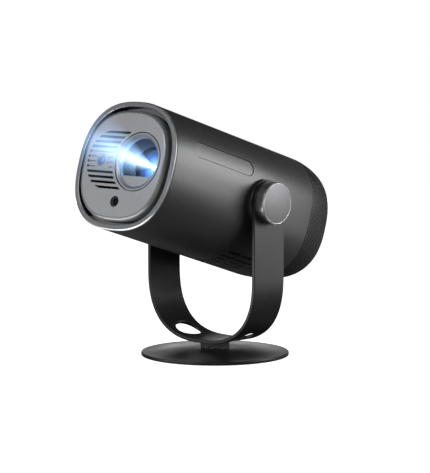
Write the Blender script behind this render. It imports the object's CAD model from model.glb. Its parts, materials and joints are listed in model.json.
import json
import math
from bisect import bisect_right

import bmesh
import bpy
from mathutils import Matrix, Vector


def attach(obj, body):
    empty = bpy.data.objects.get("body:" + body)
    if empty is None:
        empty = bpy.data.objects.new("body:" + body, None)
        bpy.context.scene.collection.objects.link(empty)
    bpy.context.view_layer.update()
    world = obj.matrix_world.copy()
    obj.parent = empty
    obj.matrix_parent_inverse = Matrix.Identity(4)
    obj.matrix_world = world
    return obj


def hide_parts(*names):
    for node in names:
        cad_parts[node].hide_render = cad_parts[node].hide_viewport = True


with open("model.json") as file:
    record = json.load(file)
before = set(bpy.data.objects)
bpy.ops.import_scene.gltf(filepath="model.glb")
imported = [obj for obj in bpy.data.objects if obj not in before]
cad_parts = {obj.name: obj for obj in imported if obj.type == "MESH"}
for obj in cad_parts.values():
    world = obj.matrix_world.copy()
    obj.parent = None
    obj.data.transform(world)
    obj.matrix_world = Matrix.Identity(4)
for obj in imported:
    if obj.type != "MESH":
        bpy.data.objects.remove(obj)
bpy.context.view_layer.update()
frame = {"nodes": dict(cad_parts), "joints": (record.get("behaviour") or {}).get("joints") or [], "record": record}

# Shapes are worked out in millimetres and put into the scene in metres.
MM = 0.001

# ---- the CAD frame ----

joints = {joint["name"]: joint for joint in frame["joints"]}
PIVOT = Vector(joints["tilt"]["pos_m"])
ACROSS = Vector((1, 0, 0))
FORWARD = Vector(joints["power_press"]["axis"]).normalized()
UPWARD = FORWARD.cross(ACROSS)


def axes(origin, x, y, z):
    """The matrix of a frame with that origin in metres and those unit axes."""
    turn = Matrix((x, y, z)).transposed().to_4x4()
    return Matrix.Translation(origin) @ turn


# The barrel's own frame: x across, y up and z forward, from the tilt axis
BARREL = axes(PIVOT, ACROSS, UPWARD, FORWARD)
# The same origin with the world's directions
LEVEL = Matrix.Translation(PIVOT)
STAND = Matrix.Identity(4)


def span(node, place=BARREL):
    """Lowest and highest corner of a CAD node in a frame, in millimetres."""
    back = place.inverted()
    points = [back @ v.co / MM for v in frame["nodes"][node].data.vertices]
    lowest = Vector([min(p[i] for p in points) for i in range(3)])
    highest = Vector([max(p[i] for p in points) for i in range(3)])
    return lowest, highest


shell_hi = span("main_shell")[1]
bezel_hi = span("front_bezel")[1]
panel_lo, panel_hi = span("front_panel")
trim_lo, trim_hi = span("lens_trim_ring")
hood_lo, hood_hi = span("lens_hood")
camera_lo, camera_hi = span("camera_bezel")
ir_lo, ir_hi = span("ir_window")
inlay_lo, inlay_hi = span("side_inlay")
grille_lo, grille_hi = span("rear_grille")
rear_lo, rear_hi = span("rear_panel")
glass_hi = span("projection_lenses")[1]
button_lo, button_hi = span("power_button")
spacer_hi = span("right_spacer_disc")[1]
yoke_lo, yoke_hi = span("yoke_band", STAND)
knob_lo, knob_hi = span("right_knob_shell", STAND)
face_hi = span("right_knob_face", STAND)[1]
base_lo, base_hi = span("base_disc", STAND)
pad_hi = span("foot_pad", STAND)[1]
hub_hi = span("swivel_hub", STAND)[1]

# The section is a superellipse of this half width and power.
HALF = shell_hi.x
SQUARENESS = 2.48
WALL = 2.4
SEAM = grille_hi.z - 2.4
LENS = (trim_lo + trim_hi) / 2
CAMERA_EYE = (camera_lo + camera_hi) / 2
IR_EYE = (ir_lo.x + ir_hi.x) / 2, (ir_lo.y + ir_hi.y) / 2
FACE = panel_hi.z
VENT_CLEAR = (trim_hi.x - trim_lo.x) / 2 + 0.3
LENS_OPENING = VENT_CLEAR - 2.4
VENT_CIRCLE = Vector((-LENS.x, LENS.y))

# ---- outlines and profiles ----


def section_size(x, y):
    """The half width of the rounded-square section that passes through (x, y)."""
    return (abs(x) ** SQUARENESS + abs(y) ** SQUARENESS) ** (1 / SQUARENESS)


def section_point(size, turn):
    """The point of the section of that half width, at turn of a whole circle."""
    a = math.tau * turn
    c, s = math.cos(a), math.sin(a)
    r = size / section_size(c, s)
    return r * c, r * s


def squircle(size, count):
    """The section of that half width, as points at even angles."""
    return [section_point(size, i / count) for i in range(count)]


def circle(size, count):
    turns = [math.tau * i / count for i in range(count)]
    return [(size * math.cos(a), size * math.sin(a)) for a in turns]


def circle_at(x, y, r, count=48):
    return [(x + px, y + py) for px, py in circle(r, count)]


def box_outline(x, y, w, h, r, steps=5):
    """A rectangle with rounded corners about (x, y)."""
    corners = [(x + i * w / 2, y + j * h / 2, r) for i, j in ((1, -1), (1, 1), (-1, 1), (-1, -1))]
    return rounded(corners, steps)


def rounded(corners, steps=4):
    """A path through corners given as (x, y, radius), with an arc at each that has a radius."""
    path = []
    for i, (x, y, radius) in enumerate(corners):
        here = Vector((x, y))
        if radius == 0:
            path.append((x, y))
            continue
        before = (Vector(corners[i - 1][:2]) - here).normalized()
        after = (Vector(corners[(i + 1) % len(corners)][:2]) - here).normalized()
        half_turn = before.angle(after) / 2
        run = radius / math.tan(half_turn)
        centre = here + (before + after).normalized() * (radius / math.sin(half_turn))
        start = here + before * run - centre
        end = here + after * run - centre
        a0 = math.atan2(start.y, start.x)
        sweep = (math.atan2(end.y, end.x) - a0 + math.pi) % math.tau - math.pi
        for k in range(steps + 1):
            a = a0 + sweep * k / steps
            path.append((centre.x + radius * math.cos(a), centre.y + radius * math.sin(a)))
    return path


def inset(loop, distance):
    """A closed loop moved to its left by that distance."""
    moved = []
    for i, point in enumerate(loop):
        here = Vector(point)
        along = (here - Vector(loop[i - 1])).normalized()
        onward = (Vector(loop[(i + 1) % len(loop)]) - here).normalized()
        left = Vector((-along.y - onward.y, along.x + onward.x)).normalized()
        stretch = max(left.dot(Vector((-along.y, along.x))), 0.35)
        moved.append(tuple(here + left * (distance / stretch)))
    return moved


def distances(path):
    """How far along a path each of its points is."""
    reach = [0.0]
    for a, b in zip(path, path[1:]):
        reach.append(reach[-1] + (b - a).length)
    return reach


def evenly(points, count):
    """count points at even distances along a path, its ends included."""
    path = [Vector(p) for p in points]
    reach = distances(path)
    result = []
    k = 0
    for i in range(count):
        d = reach[-1] * i / (count - 1)
        while k < len(path) - 2 and reach[k + 1] < d:
            k += 1
        share = (d - reach[k]) / (reach[k + 1] - reach[k])
        result.append(path[k].lerp(path[k + 1], share))
    return result


# ---- mesh making ----

RECORD = frame["record"]
SLOT_OF = {part["node"]: part["material_slot"] for part in RECORD["subparts"]}
BODY_OF = {node: body for body, nodes in RECORD["behaviour"]["bodies"].items() for node in nodes}


def bridge(bm, a, b):
    """Faces between two closed rings of vertices; a ring of one vertex is a pole."""
    faces = []
    count = max(len(a), len(b))
    if count == 1:
        return faces
    for i in range(count):
        j = (i + 1) % count
        corners = [a[i % len(a)], a[j % len(a)], b[j % len(b)], b[i % len(b)]]
        faces.append(bm.faces.new(list(dict.fromkeys(corners))))
    return faces


def swept(outline, profile, count):
    """A bmesh of outline(size) carried through a closed profile of (size, height) pairs.
    Its faces are given too, band by band along the profile."""
    bm = bmesh.new()
    rings = []
    for size, height in profile:
        points = [(0, 0)] if abs(size) < 1e-6 else outline(size, count)
        rings.append([bm.verts.new((x, y, height)) for x, y in points])
    bands = [bridge(bm, a, b) for a, b in zip(rings, rings[1:] + rings[:1])]
    return bm, bands


def turned(profile, count):
    """A bmesh of a closed profile turned about z."""
    return swept(circle, profile, count)[0]


def plate(front, loops):
    """A closed plate that faces +z at height front. Each loop is its points, anticlockwise for the
    outline and clockwise for a hole, and its edge: (inset, depth) pairs from front to back."""
    bm = bmesh.new()
    rims = {0: [], -1: []}
    for points, edge in loops:
        rings = []
        for distance, depth in edge:
            ring = inset(points, distance) if distance else points
            rings.append([bm.verts.new((x, y, front - depth)) for x, y in ring])
        for a, b in zip(rings, rings[1:]):
            bridge(bm, a, b)
        for end, rim in rims.items():
            ring = rings[end]
            rim.extend(bm.edges.get((v, ring[(i + 1) % len(ring)])) for i, v in enumerate(ring))
    for end, rim in rims.items():
        normal = (0, 0, 1) if end == 0 else (0, 0, -1)
        bmesh.ops.triangle_fill(bm, edges=rim, use_beauty=True, use_dissolve=False, normal=normal)
    return bm


def edge_round(radius, depth, steps=3, back=0.0):
    """The edge of a plate: an arc at the front, a wall, and an arc at the back if back has a radius."""
    turns = [math.radians(90) * k / steps for k in range(steps + 1)]
    edge = [(radius * (1 - math.sin(a)), radius * (1 - math.cos(a))) for a in turns]
    if back:
        edge += [(back * (1 - math.cos(a)), depth - back * (1 - math.sin(a))) for a in turns]
    else:
        edge.append((0, depth))
    return edge


def clockwise(points):
    return list(reversed(points))


def joined(*meshes):
    """One bmesh of several. Each is a bmesh, or a bmesh with the matrix that places it."""
    whole = bmesh.new()
    for entry in meshes:
        bm, place = entry if isinstance(entry, tuple) else (entry, Matrix.Identity(4))
        bm.transform(place)
        part = bpy.data.meshes.new("part")
        bm.to_mesh(part)
        whole.from_mesh(part)
        bpy.data.meshes.remove(part)
        bm.free()
    return whole


def at(x, y, z=0.0):
    return Matrix.Translation((x, y, z))


def add_to_scene(name, data):
    """A new object in the scene for a mesh, light or camera."""
    obj = bpy.data.objects.new(name, data)
    bpy.context.scene.collection.objects.link(obj)
    return obj


def add_object(bm, name, place):
    """Turns a bmesh in millimetres into an object in the frame place."""
    bmesh.ops.recalc_face_normals(bm, faces=bm.faces)
    bmesh.ops.scale(bm, vec=(MM, MM, MM), verts=bm.verts)
    mesh = bpy.data.meshes.new(name)
    bm.to_mesh(mesh)
    bm.free()
    obj = add_to_scene(name, mesh)
    obj.matrix_world = place
    return obj


def piece(bm, name, node, place=BARREL, sharp=35, even=False, finishes=None):
    """Turns a bmesh into a shaded object that stands for a CAD node and rides on that node's body.

    A piece in the barrel's frame is turned to the world's directions, so that its box fits it closely."""
    if place is BARREL:
        bm.transform(LEVEL.inverted() @ BARREL)
        place = LEVEL
    obj = add_object(bm, name, place)
    body, slot = BODY_OF[node], SLOT_OF[node]
    for material in finishes or [materials[slot]]:
        obj.data.materials.append(material)
    obj.data.shade_smooth()
    obj.data.set_sharp_from_angle(angle=math.radians(sharp))
    if even:
        weighted = obj.modifiers.new("even faces", "WEIGHTED_NORMAL")
        weighted.keep_sharp = True
    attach(obj, body)
    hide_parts(node)
    return obj


def apply_modifiers(obj):
    bpy.context.view_layer.update()
    evaluated = obj.evaluated_get(bpy.context.evaluated_depsgraph_get())
    mesh = bpy.data.meshes.new_from_object(evaluated)
    obj.modifiers.clear()
    obj.data = mesh


def carve(obj, bm, place=BARREL):
    """Cuts a closed bmesh, in the frame place, out of an object. Cut faces take its last material."""
    cutter = add_object(bm, obj.name + "_cutter", place)
    for material in obj.data.materials:
        cutter.data.materials.append(material)
    for face in cutter.data.polygons:
        face.material_index = len(obj.data.materials) - 1
    cut = obj.modifiers.new("cut", "BOOLEAN")
    cut.operation = "DIFFERENCE"
    cut.solver = "EXACT"
    cut.object = cutter
    apply_modifiers(obj)
    bpy.data.objects.remove(cutter)


def block(x0, x1, y0, y1, z0, z1):
    bm = bmesh.new()
    corners = ((x0, y0), (x1, y0), (x1, y1), (x0, y1))
    rings = [[bm.verts.new((x, y, z)) for x, y in corners] for z in (z0, z1)]
    bridge(bm, *rings)
    bm.faces.new(rings[0])
    bm.faces.new(rings[1])
    return bm


# ---- materials ----


class Graph:
    """The node tree of a material or a world."""

    def __init__(self, owner):
        owner.use_nodes = True
        self.nodes = owner.node_tree.nodes
        self.links = owner.node_tree.links

    def add(self, kind, inputs, **settings):
        """A new node with its settings. Each of its inputs is a value, or a socket to link."""
        node = self.nodes.new(kind)
        for setting, value in settings.items():
            setattr(node, setting, value)
        for socket, value in inputs.items():
            if isinstance(value, bpy.types.NodeSocket):
                self.links.new(value, node.inputs[socket])
            else:
                node.inputs[socket].default_value = value
        return node

    def calc(self, operation, *values):
        """The output of a Math node over sockets or numbers."""
        return self.add("ShaderNodeMath", dict(enumerate(values)), operation=operation).outputs["Value"]

    def object_coordinates(self):
        return self.nodes.new("ShaderNodeTexCoord").outputs["Object"]

    def seen_by_camera(self, seen, unseen):
        """Shows the camera one shader and everything else another."""
        path = self.nodes.new("ShaderNodeLightPath")
        inputs = {"Fac": path.outputs["Is Camera Ray"], 1: unseen.outputs[0], 2: seen.outputs[0]}
        return self.add("ShaderNodeMixShader", inputs).outputs["Shader"]


class Finish(Graph):
    """A Principled material with the nodes that give it grain, colour variation and uneven gloss."""

    def __init__(self, name, color, roughness, metallic=0.0, **sockets):
        self.name = name
        self.material = bpy.data.materials.new(name)
        super().__init__(self.material)
        self.shader = self.nodes["Principled BSDF"]
        self.color = (*color, 1)
        values = {"Base_Color": self.color, "Roughness": roughness, "Metallic": metallic, **sockets}
        for socket, value in values.items():
            self.shader.inputs[socket.replace("_", " ")].default_value = value
        self.coordinates = self.object_coordinates()

    def noise(self, scale, detail=3.0, stretch=(1, 1, 1)):
        """Noise of that many cells a millimetre, in the object's own coordinates."""
        mapping = self.add("ShaderNodeMapping", {"Scale": stretch, "Vector": self.coordinates})
        inputs = {"Scale": scale / MM, "Detail": detail, "Vector": mapping.outputs["Vector"]}
        return self.add("ShaderNodeTexNoise", inputs).outputs["Fac"]

    def between(self, value, low, high):
        """value, from about 0.3 to 0.7, mapped to the range low to high."""
        inputs = {"Value": value, "From Min": 0.3, "From Max": 0.7, "To Min": low, "To Max": high}
        return self.add("ShaderNodeMapRange", inputs).outputs["Result"]

    def gloss(self, low, high, scale, stretch=(1, 1, 1)):
        """Roughness that wanders between low and high."""
        value = self.between(self.noise(scale, stretch=stretch), low, high)
        self.links.new(value, self.shader.inputs["Roughness"])
        return self

    def shade(self, other, scale, stretch=(1, 1, 1)):
        """Colour that wanders between the finish's own and another."""
        share = self.between(self.noise(scale, stretch=stretch), 0, 1)
        inputs = {"A": self.color, "B": (*other, 1), "Factor": share}
        mix = self.add("ShaderNodeMix", inputs, data_type="RGBA")
        self.links.new(mix.outputs["Result"], self.shader.inputs["Base Color"])
        return self

    def bump(self, height, strength, distance=0.05):
        """Surface relief from a height socket, distance millimetres deep."""
        node = self.add("ShaderNodeBump", {"Strength": strength, "Distance": distance * MM,
            "Height": height})
        self.links.new(node.outputs["Normal"], self.shader.inputs["Normal"])
        return self

    def grain(self, scale, strength, stretch=(1, 1, 1), distance=0.05):
        return self.bump(self.noise(scale, detail=2.0, stretch=stretch), strength, distance)

    def rings(self, pitch, strength):
        """Turning marks: circles about the object's z axis."""
        inputs = {"Scale": 0.05 / (pitch * MM), "Distortion": 0.4, "Vector": self.coordinates}
        wave = self.add("ShaderNodeTexWave", inputs, wave_type="RINGS", rings_direction="Z")
        return self.bump(wave.outputs["Fac"], strength, 0.01)


def satin_paint(name, color, lighter, roughness=0.42):
    """Metallic satin paint: fine flake grain, slightly uneven gloss."""
    finish = Finish(name, color, roughness, metallic=0.55, Coat_Weight=0.12, Coat_Roughness=0.3)
    return finish.shade(lighter, 0.9).gloss(roughness - 0.03, roughness + 0.03, 0.02).grain(3.0, 0.10)


def moulded(name, color, roughness=0.5, grain=0.25, scale=2.2):
    """Moulded plastic with a fine spark-eroded texture."""
    finish = Finish(name, color, roughness)
    lighter = tuple(min(1, c * 1.25 + 0.002) for c in color)
    return finish.shade(lighter, 0.08).gloss(roughness - 0.06, roughness + 0.06, 0.05).grain(scale, grain)


def powder_coat(name, color, roughness):
    """Powder-coated metal, with a slight orange peel."""
    finish = Finish(name, color, roughness, Specular_IOR_Level=0.38, Coat_Weight=0.1, Coat_Roughness=0.35)
    lighter = tuple(c * 1.3 for c in color)
    return finish.shade(lighter, 0.06).gloss(roughness - 0.05, roughness + 0.05, 0.04).grain(0.9, 0.10)


def metal(name, color, roughness, stretch=(1, 1, 12), strength=0.1):
    """Bare or plated metal, brushed along the directions that stretch leaves short."""
    finish = Finish(name, color, roughness, metallic=1.0)
    duller = tuple(c * 0.88 for c in color)
    return finish.shade(duller, 0.05, stretch).gloss(roughness * 0.8, roughness * 1.25, 0.08,
        stretch).grain(0.7, strength, stretch, 0.02)


def gloss_plastic(name, color, roughness=0.12):
    finish = Finish(name, color, roughness, Coat_Weight=0.5, Coat_Roughness=0.04)
    lighter = tuple(c * 1.2 + 0.001 for c in color)
    return finish.shade(lighter, 0.03).gloss(roughness * 0.8, roughness * 1.3, 0.03)


def clear_plastic(name, color, roughness=0.03):
    finish = Finish(name, color, roughness, Transmission_Weight=0.9, IOR=1.49)
    return finish.gloss(roughness, roughness * 2.5, 0.04)


def make_materials():
    """Materials by name: one for every slot in the record, and moat_black and slot_black."""
    finishes = [
        satin_paint("body_satin", (0.062, 0.0625, 0.064), (0.075, 0.0755, 0.077)),
        satin_paint("inlay_satin", (0.088, 0.0885, 0.09), (0.1, 0.1005, 0.102)),
        satin_paint("bezel_gloss", (0.15, 0.152, 0.158), (0.17, 0.172, 0.178), 0.36),
        satin_paint("panel_satin", (0.30, 0.305, 0.315), (0.335, 0.34, 0.35), 0.38),
        moulded("hood_black", (0.02, 0.022, 0.028), 0.45),
        Finish("coated_glass", (0.35, 0.55, 0.95), 0.02, Transmission_Weight=0.7, IOR=1.6,
            Coat_Weight=1.0, Coat_Roughness=0.01).gloss(0.01, 0.04, 0.05),
        Finish("ir_window", (0.001, 0.001, 0.0013), 0.4, Specular_IOR_Level=0.1).gloss(0.35, 0.45, 0.3),
        moulded("grille_black", (0.014, 0.014, 0.015), 0.62, 0.1),
        moulded("rear_plastic", (0.022, 0.022, 0.024), 0.52, 0.4),
        satin_paint("button_plastic", (0.06, 0.06, 0.064), (0.08, 0.08, 0.085)),
        powder_coat("yoke_paint", (0.009, 0.009, 0.010), 0.38),
        powder_coat("base_paint", (0.008, 0.008, 0.009), 0.34),
        moulded("rubber", (0.02, 0.02, 0.02), 0.85, 0.5, 1.2),
        moulded("hub_plastic", (0.015, 0.015, 0.017), 0.4),
        metal("knob_chrome", (0.85, 0.85, 0.87), 0.24, (1, 1, 6), 0.02),
        Finish("knob_satin", (0.12, 0.121, 0.123), 0.5, metallic=0.9).shade((0.133, 0.134, 0.136),
            0.4).rings(0.35, 0.25),
        metal("steel", (0.62, 0.62, 0.63), 0.3),
        metal("dark_steel", (0.12, 0.12, 0.125), 0.35),
        moulded("bearing_plastic", (0.75, 0.72, 0.65), 0.4, 0.1),
        metal("aluminium", (0.68, 0.69, 0.70), 0.34),
        gloss_plastic("moat_black", (0.004, 0.004, 0.005), 0.08),
        moulded("slot_black", (0.003, 0.003, 0.003), 0.9, 0.1),
        metal("brass", (0.72, 0.56, 0.28), 0.25),
        moulded("inner_plastic", (0.035, 0.036, 0.04), 0.5),
        clear_plastic("clear_optic", (0.85, 0.92, 0.96)),
        gloss_plastic("lcd_dark", (0.04, 0.05, 0.08), 0.08),
        moulded("fan_plastic", (0.03, 0.03, 0.033), 0.38),
        gloss_plastic("board_green", (0.02, 0.12, 0.05), 0.3),
        metal("port_metal", (0.55, 0.55, 0.56), 0.28),
        gloss_plastic("cable_jacket", (0.35, 0.03, 0.03), 0.35),
    ]
    return {finish.name: finish.material for finish in finishes}


def paint_cad_nodes():
    """Gives every CAD node the finish of its slot."""
    for node, slot in SLOT_OF.items():
        cad_materials = frame["nodes"][node].data.materials
        cad_materials.clear()
        cad_materials.append(materials[slot])


# ---- casing ----

ROUND = 256
INNER = HALF - WALL


def side_x(size, v):
    """How far out the barrel's side lies at height v, for a section of that half width."""
    return (size ** SQUARENESS - abs(v) ** SQUARENESS) ** (1 / SQUARENESS)


def side_patch(lo, hi, shrink, outer, inner, flatness=0.0):
    """A closed patch of the barrel's side with round ends, between two section sizes.
    flatness is the share by which its outside follows the chord instead of the section."""
    mid = (lo.y + hi.y) / 2
    r = (hi.y - lo.y) / 2 - shrink
    ends = (lo.z + shrink + r, hi.z - shrink - r)
    turns = [math.radians(a) for a in range(6, 91, 7)]
    stations = [(ends[0] - r * math.cos(a), r * math.sin(a)) for a in turns]
    stations += [(s, r) for s in (ends[0] * 0.7 + ends[1] * 0.3, ends[0] * 0.3 + ends[1] * 0.7)]
    stations += [(ends[1] + r * math.cos(a), r * math.sin(a)) for a in reversed(turns)]
    across = 8
    low_x, high_x = side_x(outer, lo.y), side_x(outer, hi.y)
    bm = bmesh.new()
    rings = []
    for s, reach in stations:
        heights = [mid + reach * (2 * j / across - 1) for j in range(across + 1)]
        chord = [low_x + (high_x - low_x) * (v - lo.y) / (hi.y - lo.y) for v in heights]
        ring = [(side_x(outer, v) * (1 - flatness) + x * flatness, v, s) for v, x in zip(heights, chord)]
        ring += [(side_x(inner, v), v, s) for v in reversed(heights)]
        rings.append([bm.verts.new(p) for p in ring])
    for a, b in zip(rings, rings[1:]):
        bridge(bm, a, b)
    for ring in (rings[0], rings[-1]):
        for j in range(across):
            bm.faces.new((ring[j], ring[j + 1], ring[-2 - j], ring[-1 - j]))
    return bm


def underside_vents():
    """The blocks that cut two banks of slots into the barrel's underside."""
    rows, pitch, first, width = 12, 6.1, -33.6, 1.8
    banks = ((-7, 8.2), (-28, -9))
    blocks = []
    for i in range(rows):
        middle = first + pitch * i
        for back, front in banks:
            blocks.append(block(middle - width / 2, middle + width / 2, -HALF - 5, -21, back, front))
    return joined(*blocks)


def make_main_shell():
    seam_round = 0.35
    profile = rounded([(HALF, SEAM, seam_round), (HALF, shell_hi.z, seam_round),
                       (INNER, shell_hi.z, 0), (INNER, SEAM, 0)], 3)
    bm, _ = swept(squircle, profile, ROUND)
    finishes = [materials["body_satin"], materials["slot_black"]]
    shell = piece(bm, "barrel_shell", "main_shell", finishes=finishes)
    pocket_floor = HALF - 1.65
    carve(shell, side_patch(inlay_lo, inlay_hi, 0, HALF + 3, pocket_floor))
    carve(shell, underside_vents())
    shell.data.set_sharp_from_angle(angle=math.radians(35))


def make_side_inlay():
    gap = 0.4
    recess = 0.4
    bm = side_patch(inlay_lo, inlay_hi, gap, HALF - recess, HALF - 1.7, flatness=0.3)
    inlay = piece(bm, "barrel_inlay", "side_inlay")
    edge = inlay.modifiers.new("edge", "BEVEL")
    edge.width = 0.2 * MM
    edge.segments = 2
    edge.limit_method = "ANGLE"
    edge.angle_limit = math.radians(50)
    apply_modifiers(inlay)


def make_front_rim():
    """The rim: a bright outer chamfer, a dark face, a bright inner chamfer and the black moat."""
    front = bezel_hi.z
    seam = shell_hi.z
    gap = 0.4
    lip = HALF - 4.2
    floor = panel_lo.z
    back = floor - 3
    bore = panel_hi.x + 0.06
    corners = [(HALF - 0.9, seam, 0), (HALF - 0.9, seam + gap, 0), (HALF, seam + gap, 0.15),
               (HALF, front - 0.9, 0.3), (HALF - 0.9, front, 0.3),
               (lip + 0.7, front, 0.2), (lip, front - 0.7, 0.2), (lip, floor, 0),
               (bore, floor, 0), (bore, back, 0), (INNER - 0.1, back, 0), (INNER - 0.1, seam, 0)]
    profile = rounded(corners, 4)
    bm, bands = swept(squircle, profile, ROUND)
    bright, moat = 1, 2
    for (size, s), (next_size, next_s), faces in zip(profile, profile[1:] + profile[:1], bands):
        middle = (size + next_size) / 2
        height = (s + next_s) / 2
        sloped = abs(size - next_size) > 0.02 and abs(s - next_s) > 0.02
        index = 0
        if height > front - 1.4 and (sloped or middle > HALF - 0.02):
            index = bright
        elif middle < lip + 0.1 or height < seam - 0.5:
            index = moat
        for face in faces:
            face.material_index = index
    edge = metal("rim_edge", (0.68, 0.685, 0.70), 0.42, (1, 1, 1), 0.02).material
    finishes = [materials["bezel_gloss"], edge, materials["moat_black"]]
    piece(bm, "front_rim", "front_bezel", finishes=finishes)


def vent_rows():
    """Each vent row's height above the lens's middle, and whether it is one of the filled rows."""
    rows, pitch, filled_half = 12, 4.02, 2
    for i in range(rows):
        offset = i - (rows - 1) / 2
        yield offset * pitch, abs(offset) < filled_half


def row_outline(dv, height, left=None, right=None):
    """A slot whose ends follow the vent circle on the left and the lens opening on the right."""
    levels = [dv - height / 2, dv, dv + height / 2]
    circle_r = LENS_OPENING - 0.2
    left_end = [(VENT_CIRCLE.x - math.sqrt(circle_r ** 2 - v * v) if left is None else left, LENS.y + v)
        for v in levels]
    right_end = [(LENS.x - math.sqrt(VENT_CLEAR ** 2 - v * v) if right is None else right, LENS.y + v)
        for v in levels]
    return right_end + left_end[::-1]


def panel_holes():
    """The outlines cut through the panel, and the shallow grooves of the filled rows."""
    slot_h, groove_h, stub = 1.8, 0.6, 2.2
    slots, grooves = [], []
    for dv, filled in vent_rows():
        if not filled:
            slots.append(row_outline(dv, slot_h))
            continue
        start = row_outline(dv, slot_h)[4][0]
        slots.append(row_outline(dv, slot_h, right=start + stub))
        near_eye = abs(LENS.y + dv - CAMERA_EYE.y) < 5.6
        if near_eye:
            grooves.append(row_outline(dv, groove_h, left=start + stub + 0.8, right=CAMERA_EYE.x - 5.6))
            grooves.append(row_outline(dv, groove_h, left=CAMERA_EYE.x + 9))
        else:
            grooves.append(row_outline(dv, groove_h, left=start + stub + 0.8))
    return slots, grooves


def make_front_panel():
    roll, skin, groove_depth = 3.4, 2.2, 0.4
    depth = FACE - panel_lo.z
    side = edge_round(roll, depth, 8) + [(2.2, depth), (2.2, skin)]
    fine = edge_round(0.18, skin)
    soft = edge_round(0.35, skin)
    countersink = [(1.5, 0), (1.36, 0.1), (0.9, 1.1), (0.1, 1.25), (0, 1.4), (0, skin)]
    slots, grooves = panel_holes()
    dot_x = CAMERA_EYE.x + 7.4
    edge_band = 8
    loops = [(squircle(panel_hi.x, 192), side),
             (clockwise(circle_at(LENS.x, LENS.y, LENS_OPENING, 128)), soft),
             (clockwise(circle_at(CAMERA_EYE.x, CAMERA_EYE.y, 4.75)), soft),
             (clockwise(circle_at(*IR_EYE, 3.0)), countersink)]
    loops += [(clockwise(circle_at(dot_x, v, 0.7, 20)), fine) for v in (1.0, 4.9)]
    loops += [(clockwise(slot), fine) for slot in slots + grooves]
    fillers = []
    for groove in grooves:
        xs = [x for x, _ in groove]
        ys = [y for _, y in groove]
        fillers.append(block(min(xs) - 0.3, max(xs) + 0.3, min(ys) - 0.3, max(ys) + 0.3,
            FACE - skin + 0.1, FACE - groove_depth))
    bm = joined(plate(FACE, loops), *fillers)
    for face in bm.faces:
        x, y, z = face.calc_center_bounds()
        hole_wall = section_size(x, y) < panel_hi.x - edge_band and z < FACE - 0.3
        face.material_index = 1 if hole_wall else 0
    finishes = [materials["panel_satin"], materials["hood_black"]]
    piece(bm, "front_panel_face", "front_panel", even=True, finishes=finishes)


# ---- lens ----


def centred(x, y):
    """The barrel's frame moved across to (x, y), for pieces turned about a forward axis."""
    return BARREL @ Matrix.Translation((x * MM, y * MM, 0))


def make_lens_trim():
    bore = 19.7
    outer = LENS_OPENING - 0.75
    ring_back = hood_hi.z
    ledge = FACE - 2.2
    skirt = VENT_CLEAR - 0.3
    profile = rounded([(bore, ring_back, 0), (skirt, ring_back, 0), (skirt, ledge, 0), (outer, ledge, 0),
                       (outer, FACE - 0.1, 0.3), (outer - 1.1, FACE - 0.1, 0.5),
                       (bore, FACE - 1.35, 0.25)], 4)
    ring = turned(profile, 160)
    drop, shelf_top, shelf_t = 11.2, FACE - 1.8, 1.8
    reach = bore + 0.3
    start = math.asin(-drop / reach)
    arc = [math.pi - start + (math.pi + 2 * start) * k / 40 for k in range(41)]
    outline = [(reach * math.cos(a), reach * math.sin(a)) for a in arc]
    shelf = plate(shelf_top, [(outline, edge_round(0.3, shelf_t))])
    piece(joined(ring, shelf), "lens_trim", "lens_trim_ring", centred(LENS.x, LENS.y), even=True)


def make_lens_hood():
    mouth, throat = 19.7, 15.2
    profile = [(throat, hood_lo.z), (throat + 1.4, hood_lo.z), (mouth + 1.5, hood_hi.z),
        (mouth, hood_hi.z)]
    bm = turned(profile, 128)
    piece(bm, "lens_tunnel", "lens_hood", centred(LENS.x, LENS.y))


def glowing_glass():
    """Blue-coated glass, lit from within: white at its middle and deep blue at its edge."""
    finish = Finish("lit_lens_glass", (0.03, 0.07, 0.24), 0.04, Transmission_Weight=0.2, IOR=1.6,
                    Coat_Weight=1.0, Coat_Roughness=0.02)
    finish.gloss(0.03, 0.07, 0.05)
    flat = finish.add("ShaderNodeVectorMath", {0: finish.coordinates, 1: (1, 1, 0)}, operation="MULTIPLY")
    off = finish.add("ShaderNodeVectorMath", {0: flat.outputs["Vector"]}, operation="LENGTH")
    reach = finish.add("ShaderNodeMapRange", {"Value": off.outputs["Value"], "From Max": 14.5 * MM})
    ramp = finish.add("ShaderNodeValToRGB", {"Fac": reach.outputs["Result"]})
    middle, edge = ramp.color_ramp.elements
    middle.color = (1.0, 1.0, 1.0, 1)
    edge.color = (0.02, 0.05, 0.14, 1)
    edge.position = 0.7
    ramp.color_ramp.elements.new(0.2).color = (0.12, 0.30, 0.75, 1)
    finish.links.new(ramp.outputs["Color"], finish.shader.inputs["Emission Color"])
    finish.shader.inputs["Emission Strength"].default_value = 1.3
    return finish.material


def lens_outline(radius, rim_back, rim_front, back_bulge, front_bulge, steps=10):
    """The half profile of a lens, from its back pole to its front pole."""
    ks = [k / steps for k in range(steps + 1)]
    back = [(radius * k, rim_back - back_bulge * (1 - k * k)) for k in ks]
    front = [(radius * k, rim_front + front_bulge * (1 - k * k)) for k in reversed(ks)]
    return back + front


def make_projection_lens():
    radius = 14.4
    rim_front = glass_hi.z - 3
    bm = turned(lens_outline(radius, rim_front - 5, rim_front, 0.5, 3), 96)
    rear = turned(lens_outline(radius, 49, 53, 2.5, 2.5), 64)
    piece(joined(bm, rear), "lens_glass", "projection_lenses", centred(LENS.x, LENS.y),
        finishes=[glowing_glass()])


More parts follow.
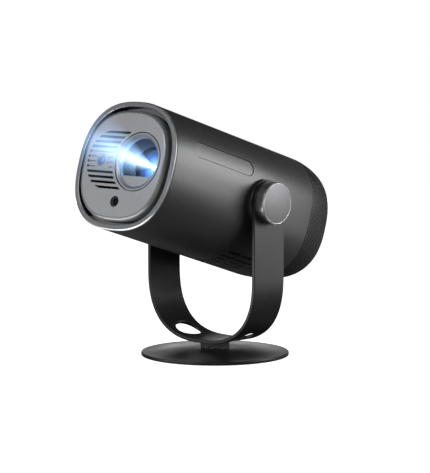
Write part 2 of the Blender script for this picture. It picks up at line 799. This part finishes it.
def make_camera_eye():
    place = centred(CAMERA_EYE.x, CAMERA_EYE.y)
    ring_profile = rounded([(3.2, camera_lo.z, 0), (4.6, camera_lo.z, 0), (4.6, FACE - 0.15, 0.25),
        (3.9, FACE - 0.15, 0.2), (3.2, FACE - 1.2, 0)], 3)
    ring = turned(ring_profile, 64)
    piece(ring, "eye_ring", "camera_bezel", place, finishes=[materials["panel_satin"]])
    eye_glass = Finish("eye_glass", (0.06, 0.14, 0.42), 0.05, Coat_Weight=1.0, Coat_Roughness=0.01)
    eye_glass.shade((0.10, 0.24, 0.62), 0.25).gloss(0.03, 0.08, 0.1)
    eye = turned(lens_outline(3.15, FACE - 3.2, FACE - 1.6, 0, 0.7, 6), 48)
    piece(eye, "eye_glass", "camera_lens", place, finishes=[eye_glass.material])


def make_ir_window():
    profile = [(0, ir_lo.z), (4.2, ir_lo.z), (4.2, ir_lo.z + 1.2), (2.95, ir_lo.z + 1.2)]
    dome = [(2.95 * math.cos(a), ir_hi.z - 0.4 + 0.4 * math.sin(a)) for a in (0, 0.5, 1.0, math.pi / 2)]
    bm = turned(profile + dome, 48)
    piece(bm, "ir_receiver_window", "ir_window", centred(*IR_EYE))


# ---- rear end ----

REAR_SHARE = 0.76
DOME_END = grille_lo.z
DOME_DEPTH = SEAM - DOME_END


def dome_path(count=80):
    """The rear dome's profile as (size, s), from its seam to its end."""
    power = 1.8
    path = []
    for i in range(count + 1):
        k = math.sin(math.pi / 2 * i / count)
        share = REAR_SHARE + (1 - REAR_SHARE) * (1 - k ** power) ** (1 / power)
        path.append((HALF * share, SEAM - DOME_DEPTH * k))
    return path


def offset_path(path, depth):
    """The dome's profile moved inward by depth."""
    moved = []
    for i, (size, s) in enumerate(path):
        before = Vector(path[max(i - 1, 0)])
        after = Vector(path[min(i + 1, len(path) - 1)])
        along = (after - before).normalized()
        moved.append((size + along.y * depth, s - along.x * depth))
    return moved


def perforated_dome(columns, pitch, hole_r, thickness):
    """The dome as a skin with staggered round holes, one in each cell of a hexagonal lattice.
    The profile has `steps` levels a row; `grid` is the fineness at which corners are shared."""
    steps, grid = 12, 120
    whole = [p for p in dome_path() if p[1] < SEAM - 0.8]
    length = sum((Vector(a) - Vector(b)).length for a, b in zip(whole, whole[1:]))
    rows = round(length / (pitch * math.sqrt(3) / 2))
    levels = evenly(whole, steps * rows + 1)
    inner = evenly(offset_path(whole, thickness), steps * rows + 1)
    bm = bmesh.new()
    made = {}

    def vertex(x, y, layer):
        """The vertex at lattice place (x, y): x in columns round, y in rows of the dome."""
        key = (round(x * grid) % (columns * grid), round(y * grid), layer)
        if key not in made:
            path = (levels, inner)[layer]
            place = min(max(y, 0), rows) * steps
            low = min(int(place), len(path) - 2)
            size, s = path[low].lerp(path[low + 1], place - low)
            made[key] = bm.verts.new((*section_point(size, x / columns), s))
        return made[key]

    def wall(a, b):
        """A face between the two layers."""
        bm.faces.new([vertex(*a, 0), vertex(*b, 0), vertex(*b, 1), vertex(*a, 1)])

    def skin(corners):
        """The same face in both layers, turned over in the inner one."""
        for layer in (0, 1):
            bm.faces.new([vertex(x, y, layer) for x, y in (corners if layer == 0 else corners[::-1])])

    hexagon = [(0, 2 / 3), (-0.5, 1 / 3), (-0.5, -1 / 3), (0, -2 / 3), (0.5, -1 / 3), (0.5, 1 / 3)]
    for j in range(rows - 1):
        y = j + 1
        size = levels[min(steps * y, len(levels) - 1)].x
        across = hole_r / (math.tau * size * 1.03 / columns)
        along = hole_r / (length / rows)
        for i in range(columns):
            x = i + 0.5 * (j % 2)
            corners = [(x + dx, y + dy) for dx, dy in hexagon]
            turns = [math.radians(90 + 60 * k) for k in range(6)]
            hole = [(x + across * math.cos(a), y + along * math.sin(a)) for a in turns]
            for k in range(6):
                m = (k + 1) % 6
                skin([corners[k], corners[m], hole[m], hole[k]])
                wall(hole[k], hole[m])
    for end, edge_y, side in ((0, 0.0, -1), (rows - 2, float(rows), 1)):
        y = end + 1
        for i in range(columns):
            x = i + 0.5 * (end % 2)
            tip, left, right = (x, y + side * 2 / 3), (x - 0.5, y + side / 3), (x + 0.5, y + side / 3)
            skin([left, tip, (x, edge_y), (x - 0.5, edge_y)])
            skin([tip, right, (x + 0.5, edge_y), (x, edge_y)])
            wall((x - 0.5, edge_y), (x, edge_y))
            wall((x, edge_y), (x + 0.5, edge_y))
    return bm


def make_rear_grille():
    skin_t = 0.9
    mesh = perforated_dome(150, 2.25, 0.76, skin_t)
    path = dome_path()
    front = [p for p in path if p[1] > SEAM - 1.1]
    seam_ring, _ = swept(squircle, [(INNER - 0.1, SEAM + 2), (INNER - 0.1, SEAM), *front,
        *offset_path(front, 1.6)[::-1], (INNER - 1.6, SEAM + 2)], ROUND)
    end_size = path[-1][0]
    opening = rear_hi.x - 1.8
    lip_profile = [(end_size + 0.9, 0.55), (end_size + 0.3, 0.12), (end_size - 0.6, 0), (opening + 0.4, 0),
                   (opening + 0.05, 0.35), (opening + 0.05, 2.3), (end_size - 0.2, 2.3)]
    lip, _ = swept(squircle, [(size, DOME_END + rise) for size, rise in lip_profile], ROUND)
    piece(mesh, "grille_skin", "rear_grille")
    piece(joined(seam_ring, lip), "grille_frame", "rear_grille", finishes=[materials["rear_plastic"]])
    liner = offset_path(path, 1.5) + offset_path(path, 2.1)[::-1]
    backing, _ = swept(squircle, liner, 128)
    cloth = moulded("speaker_cloth", (0.006, 0.006, 0.007), 0.9, 0.5, 1.5)
    piece(backing, "grille_backing", "rear_grille", finishes=[cloth.material])


# ---- yoke ----

YOKE_HALF = yoke_hi.x
STRIP_T = 3.0
STRIP_W = yoke_hi.y - yoke_lo.y
BEND_DEPTH = 58.0
BEND_SQUARENESS = 2.56
STRAIGHT_Z = yoke_lo.z + BEND_DEPTH
PIVOT_Z = PIVOT.z / MM


def yoke_path():
    """The outside of the yoke's right half, from the bottom middle up the arm, 0.2 mm or so apart."""
    steps = 600
    power = 2 / BEND_SQUARENESS
    bend = []
    for i in range(steps + 1):
        a = math.pi / 2 * (1 - i / steps)
        across = YOKE_HALF * abs(math.cos(a)) ** power
        bend.append((across, STRAIGHT_Z - BEND_DEPTH * math.sin(a) ** power))
    return [Vector(p) for p in bend] + [Vector((YOKE_HALF, PIVOT_Z + STRIP_W))]


class Bend:
    """Carries points of a flat strip, x along it and z out of it, onto the yoke's curve."""

    def __init__(self):
        self.path = yoke_path()
        self.reach = distances(self.path)
        self.pivot = self.reach[-1] - STRIP_W

    def heading(self, k):
        """The path's direction at its k-th point."""
        last = len(self.path) - 1
        return (self.path[min(k + 1, last)] - self.path[max(k - 1, 0)]).normalized()

    def frame_at(self, x):
        """The point and the directions along and outward at distance x from the middle."""
        d = abs(x)
        low = min(bisect_right(self.reach, d) - 1, len(self.reach) - 2)
        share = (d - self.reach[low]) / (self.reach[low + 1] - self.reach[low])
        here = self.path[low].lerp(self.path[low + 1], share)
        along = self.heading(low).lerp(self.heading(low + 1), share).normalized()
        if x < 0:
            here.x = -here.x
            along.y = -along.y
        return here, along, Vector((along.y, -along.x))

    def length_at(self, across):
        """The distance along the strip at which its outside is that far across."""
        return next(r for p, r in zip(self.path, self.reach) if p.x >= across)


def bend_strip(obj):
    """Bends a flat strip object and its shading onto the yoke's curve."""
    apply_modifiers(obj)
    mesh = obj.data
    bend = Bend()
    frames = [bend.frame_at(v.co.x / MM) for v in mesh.vertices]
    flat = [c.vector.copy() for c in mesh.corner_normals]
    normals = []
    for loop, n in zip(mesh.loops, flat):
        _, along, out = frames[loop.vertex_index]
        normals.append((n.x * along.x + n.z * out.x, -n.y, n.x * along.y + n.z * out.y))
    for vertex, (here, _, out) in zip(mesh.vertices, frames):
        place = here + out * (vertex.co.z / MM)
        vertex.co = Vector((place.x * MM, -vertex.co.y, place.y * MM))
    mesh.normals_split_custom_set(normals)


def make_yoke():
    bend = Bend()
    edge = edge_round(0.55, STRIP_T, 4, back=0.55)
    reach, half_w = bend.pivot, STRIP_W / 2
    quarter = [math.radians(a) for a in range(-90, 91, 6)]
    outline = [(reach + half_w * math.cos(a), half_w * math.sin(a)) for a in quarter]
    outline += [(-x, -y) for x, y in outline]
    hole_x = bend.length_at(30.2)
    loops = [(outline, edge)]
    for x in (-hole_x, hole_x):
        loops.append((clockwise(circle_at(x, 0, 11.4, 64)), edge))
    for x in (-reach, reach):
        loops.append((clockwise(circle_at(x, 0, 6, 32)), edge_round(0.2, STRIP_T)))
    bm = plate(0, loops)
    bend_half = bend.length_at(YOKE_HALF - 0.01)
    cuts = 64
    for i in range(-cuts, cuts + 1):
        geometry = bm.verts[:] + bm.edges[:] + bm.faces[:]
        place = ACROSS * (bend_half * i / cuts)
        bmesh.ops.bisect_plane(bm, geom=geometry, plane_co=place, plane_no=ACROSS)
    strip = piece(bm, "yoke_strip", "yoke_band", STAND, even=True)
    bend_strip(strip)


# ---- stand and hinge ----


def make_base():
    rim = base_hi.x
    flat_r, top, rim_z = 14.0, base_hi.z, 3.3
    edge = rim - 0.6
    steps = 28
    dome = []
    for i in range(steps + 1):
        k = i / steps
        dome.append((edge + (flat_r - edge) * k, rim_z + (top - rim_z) * k * k * (3 - 2 * k)))
    rim_corner = rounded([(edge - 0.4, base_lo.z, 0), (rim, base_lo.z, 0.5), (rim, rim_z, 0.6),
        (edge - 0.4, rim_z, 0)])
    profile = [(6.05, 4.2), (15, 4.2), (15, base_lo.z), *rim_corner[:-1], *dome[1:], (6.05, top)]
    bm = turned(profile, 224)
    piece(bm, "base_plate", "base_disc", STAND)
    pad_r = pad_hi.x
    pad_profile = rounded([(0, 0, 0), (pad_r, 0, 0.4), (pad_r, pad_hi.z, 0), (0, pad_hi.z, 0)])
    pad = turned(pad_profile, 160)
    piece(pad, "base_pad", "foot_pad", STAND)


def fluted(size, count):
    """A circle of that radius with upright flutes round it."""
    flutes, depth = 36, 0.45
    points = []
    for i in range(count):
        a = math.tau * i / count
        r = size - depth * (0.5 + 0.5 * math.cos(flutes * a)) ** 2
        points.append((r * math.cos(a), r * math.sin(a)))
    return points


def make_hub():
    r = hub_hi.x
    foot = 7.45
    core_profile = [(6, 3.7), (6, 12.6), (5, 12.6), (5, 14.55), (2, 14.55), (2, 3.7)]
    skirt = base_hi.z + 0.1
    flutes = [(r - 0.5, skirt), (r, skirt + 0.3), (r, 12.6), (6, 12.6), (6, foot), (r - 0.5, foot)]
    bm, _ = swept(fluted, flutes, 432)
    core = turned(core_profile, 96)
    piece(joined(bm, core), "hub_collar", "swivel_hub", STAND, sharp=50)


def facing_out(side):
    """A frame at the pivot whose z axis points out along +X, or -X for the left side."""
    return axes(PIVOT, Vector((0, side, 0)), Vector((0, 0, 1)), Vector((side, 0, 0)))


def make_knob(name, side):
    back, top, r = knob_lo.x, knob_hi.x, knob_hi.z - PIVOT.z / MM
    place = facing_out(side)
    shell_profile = rounded([(14.6, back, 0), (r, back, 0.5), (r, top - 1.0, 0.25), (r - 1.0, top, 0.25),
        (15.75, top, 0.12), (15.75, top - 0.55, 0), (0.001, top - 0.55, 0), (0.001, top - 1.6, 0),
        (14.6, top - 1.6, 0)], 3)
    shell, bands = swept(circle, shell_profile, 160)
    for (size, height), faces in zip(shell_profile, bands):
        for face in faces:
            face.material_index = 1 if height > top - 1.1 and size > 15.6 else 0
    ring = metal(f"{name}_cap_ring", (0.85, 0.85, 0.86), 0.4, (1, 1, 1), 0.02).material
    piece(shell, f"{name}_cap", f"{name}_knob_shell", place, finishes=[materials["knob_chrome"], ring])
    face_profile = rounded([(0, top - 0.5, 0), (15.6, top - 0.5, 0), (15.6, face_hi.x, 0.12),
        (0, face_hi.x, 0)], 3)
    face = turned(face_profile, 160)
    piece(face, f"{name}_cap_face", f"{name}_knob_face", place)


def make_spacer(name, side):
    """The disc between the barrel and the arm, with its back fitted to the barrel's curved side."""
    r, top, count = 18.4, spacer_hi.x, 160
    bm = bmesh.new()
    rings = []
    for size, height in [(4, None), (r, None), (r, top - 1.2), (r - 0.3, top - 0.9),
            (r - 0.3, top - 0.55), (r - 0.55, top - 0.1), (r - 0.9, top), (4, top)]:
        ring = []
        for x, y in circle(size, count):
            up = y * UPWARD.z + side * x * UPWARD.y
            ring.append(bm.verts.new((x, y, side_x(HALF, up) + 0.02 if height is None else height)))
        rings.append(ring)
    for a, b in zip(rings, rings[1:] + rings[:1]):
        bridge(bm, a, b)
    piece(bm, f"{name}_hinge_disc", f"{name}_spacer_disc", facing_out(side))


# ---- rear panel ----

# Seen from behind, x runs from the barrel's right to its left.
PORT_V = -21.0
USB_X, VIDEO_X, INLET_X, AUDIO_X = 7.4, -9.6, 22.0, -22.8
SCREW_SPOTS = [(x, y) for x in (-27.5, 27.5) for y in (-12, 12)]
BUTTON = (button_lo + button_hi) / 2
BEHIND = BARREL @ Matrix.Rotation(math.pi, 4, "Y")


def rear_face_plate():
    """The rear panel with its air slots, port openings, button hole and countersunk screw holes."""
    face = rear_lo.z
    size = rear_hi.x - 1.9
    thickness = 2.4
    fine = edge_round(0.25, thickness)
    tiny = edge_round(0.15, thickness)
    slots, pitch, low, half_w, slot_h = 8, 3.6, -9.0, 21.0, 1.8
    ports = [box_outline(USB_X, PORT_V, 15.0, 7.0, 0.6), box_outline(VIDEO_X, PORT_V, 15.8, 6.6, 0.6),
        circle_at(INLET_X, PORT_V, 3.8), circle_at(AUDIO_X, PORT_V, 3.3), circle_at(0, BUTTON.y, 6.3, 64)]
    air = [box_outline(0, low + pitch * i + slot_h / 2, 2 * half_w, slot_h, 0.85, 4)
        for i in range(slots)]
    sink = [(0.15, 0), (0, 0.15), (0, 2.3), (-1.3, 2.3), (-1.3, thickness)]
    screws = [circle_at(x, y, 2.75, 32) for x, y in SCREW_SPOTS]
    loops = [(squircle(size, 160), edge_round(0.5, thickness, 4))]
    loops += [(clockwise(loop), fine) for loop in ports]
    loops += [(clockwise(loop), tiny) for loop in air]
    loops += [(clockwise(loop), sink) for loop in screws]
    bm = plate(-face, loops)
    piece(bm, "rear_plate", "rear_panel", BEHIND, even=True)


def make_power_button():
    top = -button_lo.z
    profile = rounded([(0, top - 4.6, 0), (7.2, top - 4.6, 0), (7.2, top - 3.8, 0), (6.0, top - 3.8, 0),
        (6.0, top, 0.5), (4.6, top, 0.4), (3.2, top - 0.35, 0.8), (0, top - 0.4, 0)], 4)
    bm = turned(profile, 96)
    place = centred(BUTTON.x, BUTTON.y) @ Matrix.Rotation(math.pi, 4, "Y")
    piece(bm, "power_key", "power_button", place)


def make_ports():
    """The sockets: metal shells with black tongues, and a barrel inlet with its centre pin."""
    face = -rear_lo.z
    depth, sheet, top = 9.0, 0.45, face - 0.4
    shells, tongues, pins = [], [], []
    for x, w, h, r in ((USB_X, 14.4, 6.4, 0.5), (VIDEO_X, 15.2, 6.0, 1.4)):
        outline = box_outline(x, PORT_V, w, h, r)
        opening = box_outline(x, PORT_V, w - 2 * sheet, h - 2 * sheet, max(r - sheet, 0.2))
        shells.append(plate(top, [(outline, edge_round(0.12, depth)), (clockwise(opening),
            edge_round(0.12, depth))]))
        shells.append(block(x - w / 2 + sheet, x + w / 2 - sheet, PORT_V - h / 2 + sheet,
            PORT_V + h / 2 - sheet, top - depth, top - depth + 0.5))
    tongues.append(plate(top - 0.8, [(box_outline(USB_X, PORT_V + 1.1, 11, 1.9, 0.2), edge_round(0.15,
        depth - 1.2))]))
    tongues.append(plate(top - 1.0, [(box_outline(VIDEO_X, PORT_V, 11, 1.3, 0.3), edge_round(0.15,
        depth - 1.4))]))
    for i in range(4):
        x = USB_X + (i - 1.5) * 2.4
        pins.append(block(x - 0.5, x + 0.5, PORT_V + 0.08, PORT_V + 0.3, top - depth + 0.5, top - 1.1))
    for i in range(9):
        x = VIDEO_X + (i - 4) * 1.0
        pins.append(block(x - 0.22, x + 0.22, PORT_V - 0.72, PORT_V - 0.6, top - depth + 0.5, top - 1.3))
    body = turned(rounded([(2.75, top, 0.2), (3.6, top, 0.2), (3.6, top - depth, 0), (0, top - depth, 0),
        (0, top - depth + 0.6, 0), (2.75, top - depth + 0.6, 0)], 3), 64)
    tongues.append((body, at(INLET_X, PORT_V)))
    pin = turned(rounded([(0, top - 1.2, 0), (1.0, top - 1.2, 0.4), (1.0, top - depth + 0.6, 0),
        (0, top - depth + 0.6, 0)], 4), 32)
    pins.append((pin, at(INLET_X, PORT_V)))
    contact = metal("contact_gold", (0.78, 0.62, 0.32), 0.22, (1, 1, 8), 0.03).material
    piece(joined(*shells), "socket_shells", "port_sockets", BEHIND)
    piece(joined(*tongues), "socket_inserts", "port_sockets", BEHIND, finishes=[materials["hood_black"]])
    piece(joined(*pins), "socket_contacts", "port_sockets", BEHIND, finishes=[contact])
    jack_top = face - 0.2
    jack = turned(rounded([(1.8, jack_top, 0.35), (3.1, jack_top, 0.2), (3.1, jack_top - 14.5, 0),
        (0, jack_top - 14.5, 0), (0, jack_top - 13, 0), (1.8, jack_top - 13, 0)], 3), 64)
    piece(jack, "audio_socket", "audio_jack", BEHIND @ Matrix.Translation((AUDIO_X * MM, PORT_V * MM, 0)))


def make_rear_screws():
    """Pan-head screws with a cross recess, in the rear panel's counterbores."""
    top = -rear_lo.z - 0.35
    head_r, shank_r, head_h, length = 2.55, 1.25, 1.8, 10
    profile = rounded([(0, top, 0), (1.6, top, 0.8), (head_r, top - 0.6, 0.5), (head_r, top - head_h, 0),
                       (shank_r, top - head_h, 0), (shank_r, top - length, 0), (0, top - length, 0)], 3)
    screws = joined(*[(turned(profile, 40), at(x, y)) for x, y in SCREW_SPOTS])
    obj = piece(screws, "rear_panel_screw_set", "rear_panel_screws", BEHIND)
    arm, half_slot = 1.35, 0.3
    arms = []
    for x, y in SCREW_SPOTS:
        for x0, x1, y0, y1 in ((-arm, arm, -half_slot, half_slot), (-half_slot, half_slot, -arm, -0.31),
                               (-half_slot, half_slot, 0.31, arm)):
            arms.append(block(x + x0, x + x1, y + y0, y + y1, top - 1.0, top + 1))
    carve(obj, joined(*arms), BEHIND)


# ---- studio ----


def make_world():
    """A white backdrop for the camera, and a dim room with a pale horizon for reflections."""
    world = bpy.data.worlds.new("studio")
    bpy.context.scene.world = world
    graph = Graph(world)
    backdrop = graph.nodes["Background"]
    backdrop.inputs["Color"].default_value = (1, 1, 1, 1)
    direction = graph.nodes.new("ShaderNodeTexCoord").outputs["Generated"]
    split = graph.add("ShaderNodeSeparateXYZ", {"Vector": direction})
    height = graph.add("ShaderNodeMapRange", {"Value": split.outputs["Z"], "From Min": -0.5,
        "From Max": 0.5})
    ramp = graph.add("ShaderNodeValToRGB", {"Fac": height.outputs["Result"]})
    elements = ramp.color_ramp.elements
    stops = ((0.0, 0.05), (0.47, 0.27), (0.55, 0.23), (0.62, 0.02), (1.0, 0.02))
    for i, (position, level) in enumerate(stops):
        element = elements[i] if i < 2 else elements.new(position)
        element.position = position
        element.color = (level, level, level, 1)
    room = graph.add("ShaderNodeBackground", {"Color": ramp.outputs["Color"], "Strength": 1.0})
    graph.links.new(graph.seen_by_camera(backdrop, room), graph.nodes["World Output"].inputs["Surface"])


def make_floor():
    """A floor that the camera sees almost white, and that reflections see dim."""
    radius, thickness = 1600, 4
    profile = [(0, 0), (radius, 0), (radius, -thickness), (0, -thickness)]
    floor = add_object(turned(profile, 96), "studio_floor", STAND)
    material = bpy.data.materials.new("studio_floor")
    graph = Graph(material)
    graph.nodes.remove(graph.nodes["Principled BSDF"])
    lit = graph.add("ShaderNodeBsdfDiffuse", {"Color": (0.85, 0.85, 0.85, 1)})
    lift = graph.add("ShaderNodeEmission", {"Strength": 0.98})
    bright = graph.add("ShaderNodeAddShader", {0: lit.outputs["BSDF"], 1: lift.outputs["Emission"]})
    dim = graph.add("ShaderNodeBsdfDiffuse", {"Color": (0.15, 0.15, 0.15, 1)})
    graph.links.new(graph.seen_by_camera(bright, dim), graph.nodes["Material Output"].inputs["Surface"])
    floor.data.materials.append(material)


def aim_at(obj, place, target):
    """Puts a light or camera at place and points it at target."""
    obj.location = place
    obj.rotation_mode = "QUATERNION"
    obj.rotation_quaternion = (target - place).to_track_quat("-Z", "Y")


def softbox(name, place, target, size, power):
    """A soft rectangular light that the camera doesn't see; place and target in metres."""
    light = bpy.data.lights.new(name, "AREA")
    light.shape = "RECTANGLE"
    light.size, light.size_y = size
    light.energy = power
    lamp = add_to_scene(name, light)
    aim_at(lamp, place, target)
    lamp.visible_camera = False


def make_lights():
    """Softboxes: a pair right of the object, two in front and two behind its left, and low cards."""
    nose = PIVOT + FORWARD * 0.06
    base_right = Vector((0.05, 0, 0.07))
    base_front = Vector((-0.01, -0.06, 0.1))
    softbox("side_softbox", nose + Vector((0.53, 0.56, 0.12)), nose, (0.34, 0.26), 2.9)
    softbox("side_edge_softbox", nose + Vector((0.66, 0.34, 0.12)), nose, (0.25, 0.30), 1.8)
    softbox("front_softbox", nose + Vector((-0.55, -0.75, 0.45)), nose, (0.7, 0.7), 2.1)
    softbox("front_high_softbox", PIVOT + Vector((0.1, -1.1, 0.9)), PIVOT, (0.5, 0.5), 4.9)
    softbox("back_left_softbox", PIVOT + Vector((-0.9, 1.0, -0.03)), PIVOT, (0.9, 0.2), 0.9)
    softbox("back_high_softbox", PIVOT + Vector((-1.1, 0.7, 0.6)), PIVOT, (0.6, 0.6), 0.4)
    softbox("front_card", Vector((-0.05, -0.20, 0.012)), base_front, (0.25, 0.12), 0.3)
    softbox("right_card", Vector((0.22, 0.24, 0.012)), base_right, (0.12, 0.2), 0.12)
    softbox("camera_card", PIVOT + Vector((0.88, -0.81, -0.03)), PIVOT, (0.14, 0.5), 0.7)


def make_lens_light():
    """The projector's own light: a small blue lamp in the lens tunnel."""
    light = bpy.data.lights.new("lens_light", "POINT")
    light.energy = 0.022
    light.color = (0.35, 0.6, 1.0)
    light.shadow_soft_size = 3 * MM
    lamp = add_to_scene("lens_light", light)
    lamp.location = BARREL @ (Vector((LENS.x, LENS.y, hood_lo.z + 1.5)) * MM)
    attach(lamp, "barrel")


def beam_material(apex, spread, strength, fade, end):
    """Glowing haze in a cone about z, densest near its apex, in its middle and towards its top.
    apex is the apex's height and end is how far from it the haze stops, both in metres."""
    material = bpy.data.materials.new("beam_haze")
    graph = Graph(material)
    calc = graph.calc
    graph.nodes.remove(graph.nodes["Principled BSDF"])
    x, y, z = graph.add("ShaderNodeSeparateXYZ", {"Vector": graph.object_coordinates()}).outputs
    along = calc("SUBTRACT", z, apex)
    width = calc("MULTIPLY", along, spread)
    off = calc("SQRT", calc("ADD", calc("MULTIPLY", x, x), calc("MULTIPLY", y, y)))
    share = calc("DIVIDE", off, width)
    core = calc("POWER", calc("MAXIMUM", calc("SUBTRACT", 1.0, calc("MULTIPLY", share, share)), 0.0), 1.5)
    tilt = calc("ADD", 0.8, calc("MULTIPLY", calc("DIVIDE", y, width), 0.7))
    reach = calc("POWER", calc("DIVIDE", along, 0.02), -fade)
    fall = {"Value": along, "From Min": end * 0.45, "From Max": end, "To Min": 1, "To Max": 0}
    tail = graph.add("ShaderNodeMapRange", fall, interpolation_type="SMOOTHSTEP").outputs["Result"]
    glow = calc("MULTIPLY", calc("MULTIPLY", core, tilt), calc("MULTIPLY", reach, tail))
    emission = {"Color": (0.36, 0.60, 1.0, 1), "Strength": calc("MULTIPLY", glow, strength)}
    haze = graph.add("ShaderNodeEmission", emission)
    graph.links.new(haze.outputs["Emission"], graph.nodes["Material Output"].inputs["Volume"])
    return material


def make_beam():
    """Lit haze, which isn't part of the object: a bright cone, a faint wide one and the tunnel's haze.
    Each starts some way ahead of the lens, with a root radius that grows by its spread."""
    cones = (("beam_core", 4, 1.2, 0.22, 420, 2.2, 100), ("beam_fan", 2, 2.0, 0.45, 125, 2.0, 105),
             ("tunnel_haze", 0, 14.0, 0.26, 55, 0, 20))
    for name, ahead, root, spread, strength, fade, length in cones:
        start = glass_hi.z + 0.4 + ahead
        end = start + length
        apex = start - root / spread
        bm = turned([(0, start), (root, start), (root + length * spread, end), (0, end)], 64)
        beam = add_object(bm, name, centred(LENS.x, LENS.y))
        haze = beam_material(apex * MM, spread, strength, fade, (end - apex) * MM)
        beam.data.materials.append(haze)
        beam.visible_shadow = False
        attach(beam, "barrel")


def make_camera():
    """The photograph's view: a long lens, right of the front and a little above."""
    camera = bpy.data.cameras.new("camera")
    camera.lens = 193.6
    camera.sensor_width = 36
    camera.clip_start = 0.1
    camera.clip_end = 20
    azimuth, elevation, distance = math.radians(42.68), math.radians(6.16), 2.0573
    level = math.cos(elevation)
    back = Vector((math.sin(azimuth) * level, -math.cos(azimuth) * level, math.sin(elevation)))
    viewpoint = add_to_scene("camera", camera)
    aim_at(viewpoint, Vector((0, 0, 0.1)) + back * distance, Vector((0, 0, 0.0968)))
    bpy.context.scene.camera = viewpoint


# ---- the scene ----

bpy.context.scene.view_settings.view_transform = "Standard"
make_camera()
materials = make_materials()
paint_cad_nodes()
make_main_shell()
make_side_inlay()
make_front_rim()
make_front_panel()
make_lens_trim()
make_lens_hood()
make_projection_lens()
make_camera_eye()
make_ir_window()
make_rear_grille()
rear_face_plate()
make_power_button()
make_ports()
make_rear_screws()
make_yoke()
make_hub()
make_base()
for side_name, side in (("right", 1), ("left", -1)):
    make_knob(side_name, side)
    make_spacer(side_name, side)
make_world()
make_floor()
make_lights()
make_lens_light()
make_beam()
